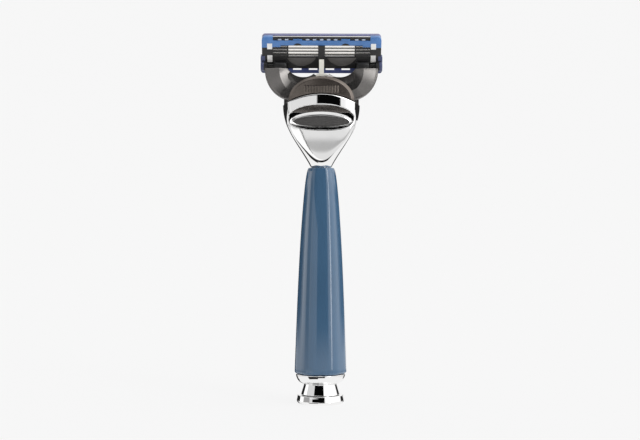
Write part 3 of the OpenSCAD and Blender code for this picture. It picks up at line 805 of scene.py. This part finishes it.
def boss(side):
    """A pin boss with its strut, whose faces have rounded edges."""
    x0, x1 = sorted((side * 11.9, side * 15.9))
    outline = []
    for i in range(49):
        a = math.pi * i / 48
        outline.append((PIVOT_Y + 1.6 * math.cos(a), PIVOT_Z + 1.6 * math.sin(a)))
    outline += [(0.9, 108.5), (4.1, 108.5)]
    edge, centre_y, centre_z = 0.2, 2.5, 112.0
    rows = []
    for x, inset in ((x0, edge), (x0 + edge * 0.3, edge * 0.3), (x0 + edge, 0),
                     (x1 - edge, 0), (x1 - edge * 0.3, edge * 0.3), (x1, edge)):
        row = []
        for y, z in outline:
            away = math.hypot(y - centre_y, z - centre_z)
            row.append((x, y - (y - centre_y) / away * inset, z - (z - centre_z) / away * inset))
        rows.append(row)
    return loft(rows)


def yoke():
    yoke_hub()
    for side, tag in ((-1, "left"), (1, "right")):
        arm = raw(f"yoke_arm_{tag}", *yoke_arm(side))
        # Room for the cartridge's ears
        combine(arm, "DIFFERENCE", raw("room", *pivot_rod(*sorted((side * 15.9, side * 22)), 1.9, 64)))
        dress(arm, MAT["yoke"], 28)
        place(arm, "head", ["yoke"] if tag == "left" else [])
        o = raw(f"yoke_boss_{tag}", *boss(side))
        combine(o, "DIFFERENCE", raw("bore", *pivot_rod(*sorted((side * 13.2, side * 17)), 0.86, 48)))
        # Dark plastic on the bosses is painted shade: they belong to the yoke and sit in shadow above the
        # arms
        dress(o, MAT["dark"], 28)
        place(o, "head", [])


def travel_shield():
    """The plate over the button, highest along a line a little above its lower edge."""
    nx, nz, low = 80, 16, 97.5
    front, back = [], []
    for i in range(nx + 1):
        x = -10.25 + 20.5 * i / nx
        high = max(96.55 + 3.44 * math.sqrt(max(0.0, 1 - (x / 10.62) ** 2)), low + 0.1)
        for k in range(nz + 1):
            z = low + (high - low) * k / nz
            q = (z - 98.4) / 1.6
            front.append((x, -1.83 + 0.2 * min(q * q, 1.0), z))
            back.append((x, -1.3, z))
    piece("travel_shield_plate", (front + back, slab_faces(nx, nz)), "shield", "handle",
          ["travel_shield"], 40)


# ---------------------------------------------------------------- cartridge

def on_pivot(x, w, v):
    """A point of the cartridge's own frame: w from the back to the blades, v from guard to cap."""
    return (x, PIVOT_Y + w * COS_LEAN - v * SIN_LEAN, PIVOT_Z + w * SIN_LEAN + v * COS_LEAN)


def prism_w(outline, w0, w1):
    """A flat outline in x and v given depth from w0 to w1."""
    return between([on_pivot(x, w0, v) for x, v in outline], [on_pivot(x, w1, v) for x, v in outline])


def block(x0, x1, w0, w1, v0, v1):
    return prism_w([(x0, v0), (x1, v0), (x1, v1), (x0, v1)], w0, w1)


def merged(parts):
    verts, faces = [], []
    for v, f in parts:
        off = len(verts)
        verts += v
        faces += [tuple(i + off for i in face) for face in f]
    return verts, faces


def cartridge_piece(name, parts, material, replaced=(), edge=0.0):
    o = piece(name, merged(parts), material, "cartridge", replaced)
    if edge:
        bevel(o, edge)


CAP_NOTCH_X, CAP_NOTCH_V, CAP_BAY_W = 8.05, 6.22, 16.4


def end_arc(side):
    """Rounded corner of the cap at one end."""
    r = 1.15
    from_degrees = 0 if side > 0 else 90
    return arc(side * (CARTRIDGE_W - r), CAP_V - r, r, from_degrees, from_degrees + 90)


def trimmer():
    # Rail over the blades, with its end blocks and two round notches
    shoulder = [(CARTRIDGE_W, 6.4), (CAP_BAY_W, 6.4), (CAP_BAY_W, 6.6), (13.8, 6.6), (13.8, 7.2)]
    rail = [(-x, v) for x, v in shoulder]
    for x in (-CAP_NOTCH_X, CAP_NOTCH_X):
        rail += arc(x, CAP_NOTCH_V, 1.73, 145.5, 34.5)
    rail += shoulder[::-1] + end_arc(1)
    rail += [(CAP_BAY_W, CAP_V), (CAP_BAY_W, 8.8), (-CAP_BAY_W, 8.8), (-CAP_BAY_W, CAP_V)] + end_arc(-1)
    cartridge_piece("trimmer_rail", [prism_w(rail, 0.7, 2.8)], "blue", ["trimmer_housing"],
                    0.06)
    bar = [(-CARTRIDGE_W, 9.0), (CARTRIDGE_W, 9.0)] + end_arc(1) + end_arc(-1)
    # The bar's purple-grey colour is a painted reflection along the cap's top
    cartridge_piece("trimmer_cap_bar", [prism_w(bar, 2.78, 4.5)], "cap", edge=0.2)


def comb():
    # A dark plate behind the teeth is painted shade in the comb's slot
    cartridge_piece("comb_slot_painted_shade", [block(-16.38, 16.38, 1.35, 1.5, 8.7, 9.9)], "dark")
    tabs = [i * 2.35 for i in (-6, -5, -2, -1, 0, 1, 2, 5, 6)]
    cartridge_piece("comb_tabs", [block(x - 0.6, x + 0.6, 0.8, 1.36, 8.95, 9.35) for x in tabs], "tab",
                    edge=0.05)
    wide = (-CAP_NOTCH_X, CAP_NOTCH_X)
    cartridge_piece("comb_wide_tabs", [block(x - 1.5, x + 1.5, 0.8, 1.36, 8.85, 9.35) for x in wide], "blue",
                    edge=0.05)
    cartridge_piece("notch_beds", [prism_w(arc(x, CAP_NOTCH_V, 1.7, 150, 30, 16), 1.5, 1.6) for x in wide],
                    "dark")


def lens_pads():
    """Two shallow domed pads on the back of the lower rail."""
    nx, nv, half_w, arc_r, arc_v, top = 48, 14, 4.93, 5.6, 5.37, 2.79
    for side, tag in ((-1, "left"), (1, "right")):
        front, back = [], []
        for i in range(nx + 1):
            x = -half_w + 2 * half_w * i / nx
            low = arc_v - math.sqrt(arc_r ** 2 - x * x)
            for k in range(nv + 1):
                v = low + (top - low) * k / nv
                # Height above the rail grows with the distance from the curved edge
                inset = arc_r - math.hypot(x, v - arc_v)
                w = 1.0 - 0.16 * smooth(inset / 0.35) - 0.1 * smooth(inset / 2.2)
                front.append(on_pivot(side * 6.8 + x, w, v))
                back.append(on_pivot(side * 6.8 + x, 1.25, v))
        piece(f"lens_pad_{tag}", (front + back, slab_faces(nx, nv)), "lens", "cartridge",
              [], 50)


def guard_wings():
    """The guard's turned-up ends, with a round cap over the end of each ear."""
    outline = [(19.1, 3.1), (19.2, 3.2), (20.3, 3.2), (20.55, 2.9), (20.55, -2.1), (20.35, -2.6),
               (19.9, -2.9), (17.2, -2.95), (17.0, -2.7), (17.2, -1.7), (18.2, -1.5), (18.9, -1.0),
               (19.1, -0.2)]
    for side, tag in ((-1, "left"), (1, "right")):
        wing = prism_w([(side * x, v) for x, v in outline], 1.12, 1.72)
        cap = [on_pivot(side * x, w, v) for x in (19.5, 20.5) for w, v in circle(1.62, 48)]
        cartridge_piece(f"guard_wing_{tag}", [wing, (cap, ring_faces(2, 48))], "wing",
                        edge=0.12)


def bay_painted_shade_strips():
    """Dark strips painted as the shade in the gaps between the blade supports, and a pale strip below them
    painted as the highlight on the edge there.
    """
    shade_strips = []
    for x0, x1 in EXPOSED_BLADES:
        for i in range(4):
            v = 2.88 + 1.1 * (i + 1) - 0.62
            shade_strips.append(block(x0, x1, 2.02, 2.12, v, v + 0.3))
    # Dark steel strips stand in for the shade in the gaps between the blade supports
    cartridge_piece("bay_painted_shade_strips", shade_strips, "dark_steel_and_shade")
    # A pale strip stands in for the highlight along the edge below the blade supports
    highlight_strips = [block(x0, x1, 1.98, 2.08, 2.74, 3.14) for x0, x1 in EXPOSED_BLADES]
    cartridge_piece("bay_painted_highlight_strip", highlight_strips, "clip")


for build in (foot_base, foot_waist, foot_cup, foot_seal, grip, collar, travel_shield, button_ring,
              button_pad, hub_cover, yoke, trimmer, comb, lens_pads, guard_wings, bay_painted_shade_strips):
    build()
for name in ("blade_housing", "guard_frame", "lube_strip", "plunger", "docking_core",
             "ejector_frame", "clip_left", "clip_right", "core_screws"):
    bevel(nodes[name], 0.04 if name.startswith("clip") else 0.09)


# ---------------------------------------------------------------- stage

def studio_floor():
    """A sweep, in metres: flat floor that curves up into a wall far behind. Glossy surfaces don't show it."""
    m, _, bsdf = new_material("studio_floor")
    bsdf.inputs["Base Color"].default_value = (0.08, 0.08, 0.08, 1)
    bsdf.inputs["Roughness"].default_value = 0.9
    bsdf.inputs["Specular IOR Level"].default_value = 0.0
    bsdf.inputs["Emission Color"].default_value = (1, 1, 1, 1)
    bsdf.inputs["Emission Strength"].default_value = 0.85
    rows, half_w, flat = [], 3, 0.3
    for i in range(25):
        t = i / 24
        if t < flat:
            rows.append((-1.5 + t / flat * 2.1, 0.0))
        else:
            a = (t - flat) / (1 - flat) * math.pi / 2
            rows.append((0.6 + 0.9 * math.sin(a), 0.9 - 0.9 * math.cos(a)))
    rows.append((1.5, 3.0))
    verts = [(x, y, z) for y, z in rows for x in (-half_w, half_w)]
    faces = [(2 * i, 2 * i + 1, 2 * i + 3, 2 * i + 2) for i in range(len(rows) - 1)]
    me = bpy.data.meshes.new("studio_floor")
    me.from_pydata(verts, [], faces)
    me.update()
    for p in me.polygons:
        p.use_smooth = True
    o = bpy.data.objects.new("studio_floor", me)
    bpy.context.scene.collection.objects.link(o)
    me.materials.append(m)
    o.visible_glossy = False


studio_floor()

world = bpy.data.worlds.new("studio")
bpy.context.scene.world = world
world.use_nodes = True
wt = world.node_tree
tex = wt.nodes.new("ShaderNodeTexCoord")
sep = wt.nodes.new("ShaderNodeSeparateXYZ")
wt.links.new(tex.outputs["Generated"], sep.inputs[0])


def wmath(op, a, b=None, clamp_it=False):
    n = wt.nodes.new("ShaderNodeMath")
    n.operation = op
    n.use_clamp = clamp_it
    for i, v in enumerate((a, b)):
        if v is None:
            continue
        if isinstance(v, (int, float)):
            n.inputs[i].default_value = v
        else:
            wt.links.new(v, n.inputs[i])
    return n.outputs[0]


# Azimuth in degrees from the front, positive to the right, and elevation in degrees
behind = wmath("MULTIPLY", sep.outputs["Y"], -1.0)
azimuth = wmath("MULTIPLY", wmath("ARCTAN2", sep.outputs["X"], behind), math.degrees(1))
elevation = wmath("MULTIPLY", wmath("ARCSINE", sep.outputs["Z"]), math.degrees(1))


def rise(value, at, soft):
    """0 below at and 1 above it, over a width of soft degrees. at may be a socket."""
    return wmath("ADD", wmath("DIVIDE", wmath("SUBTRACT", value, at), soft), 0.5, True)


def span(value, low, high, soft):
    """1 from low to high, and 0 outside."""
    return wmath("MULTIPLY", rise(value, low, soft), wmath("SUBTRACT", 1.0, rise(value, high, soft)))


def patch(az0, az1, el0, el1, soft_az, soft_el):
    return wmath("MULTIPLY", span(azimuth, az0, az1, soft_az), span(elevation, el0, el1, soft_el))


def mix(base, value, mask):
    """base where mask is 0, value where it is 1."""
    keep = wmath("MULTIPLY", base, wmath("SUBTRACT", 1.0, mask))
    return wmath("ADD", keep, wmath("MULTIPLY", mask, value))


# Edges of patches that aren't straight up or level
slant = wmath("SUBTRACT", wmath("MULTIPLY", wmath("ADD", elevation, 5.5), -3.71), 21.7)
slant_left, slant_right = wmath("ADD", slant, -0.7), wmath("ADD", slant, 0.6)
under = wmath("SUBTRACT", wmath("MULTIPLY", azimuth, 0.5), 93.0)
flag_left = wmath("ADD", wmath("MULTIPLY", rise(elevation, 9.5, 5.0), -37.0), -4.5)

# Patches with soft edges, each laid over the ones before it: strength, azimuth from and to, elevation from
# and to, and how soft the edges are in azimuth and in elevation
DARK = 0.02
PATCHES = [
    (0.72, -180, -4, 9, 60, 4, 4),
    # Front left: dimmer towards the side
    (0.78, -46, 0, -3, 14, 4, 4),
    (0.36, -92, -56, -3, 14, 6, 4),
    # Pale floor all round, with a soft grey band towards the horizon
    (0.80, -400, 400, -16, -3.5, 2, 4),
    (0.47, -400, 400, -7.6, -6.45, 2, 0.5),
    # Bright card low on the left with a slanted edge, and a thin dark line along that edge
    (1.1, -75, slant, -13, -4.9, 0.8, 0.3),
    (DARK, slant_left, slant_right, -8.6, -4.9, 0.4, 0.3),
    # Soft box on the left, and the one on the right with its bright middle and dimmer sides
    (1.25, -121, -95, -2, 50, 3, 6),
    (3.0, 30, 60, 14, 60, 5, 6),
    (1.15, 27, 112, -3, 16, 4, 6),
    (5.0, 41, 51, -3, 60, 2, 6),
    (1.7, 60, 112, 10, 60, 4, 6),
    # Dark flags behind both sides
    (DARK, -156, -120, -3, 7, 3, 2),
    (DARK, -156, -124, -3, 11, 2, 2),
    (DARK, -138, -103, 18, 62, 2, 4),
    (DARK, -174, -141, -26, 5, 3, 3),
    (DARK, 120, 154, -3, 7, 3, 2),
    (DARK, 124, 154, -3, 11, 2, 2),
    (DARK, 150, 177, 1.8, 6, 3, 1),
    (DARK, 144, 177, under, -6.6, 3, 1),
    # Dim flag high on the left
    (0.25, -75, -44, 30, 62, 6, 6),
    # Dark edge of the table in front, deeper to the left
    (DARK, -14, 22, -27, -14, 3, 2),
    (DARK, -62, -12, -38, -14, 3, 2),
    # Black flag in front, wider towards the left as it goes up
    (0.002, flag_left, 21.0, -1.5, 52, 1.2, 1.5),
]
light = 0.95
for strength, *edges in PATCHES:
    light = mix(light, strength, patch(*edges))
# Seen directly, the studio is plain and pale
seen = wt.nodes.new("ShaderNodeLightPath").outputs["Is Camera Ray"]
light = mix(light, 0.922, seen)
wt.links.new(light, wt.nodes["Background"].inputs["Strength"])
wt.nodes["Background"].inputs["Color"].default_value = (1, 1, 1, 1)


def camera():
    """Nearly level, 450 mm in front of the part's axis. Places are in metres."""
    data = bpy.data.cameras.new("camera")
    data.sensor_width = 36.0
    data.lens = 75.3
    data.clip_start = 0.01
    data.clip_end = 20.0
    o = bpy.data.objects.new("camera", data)
    o.location = (-0.000336, -0.450, 0.0615)
    o.rotation_euler = (math.radians(90), math.radians(-0.19), 0)
    bpy.context.scene.collection.objects.link(o)
    bpy.context.scene.camera = o


camera()
bpy.context.scene.view_settings.view_transform = "Standard"
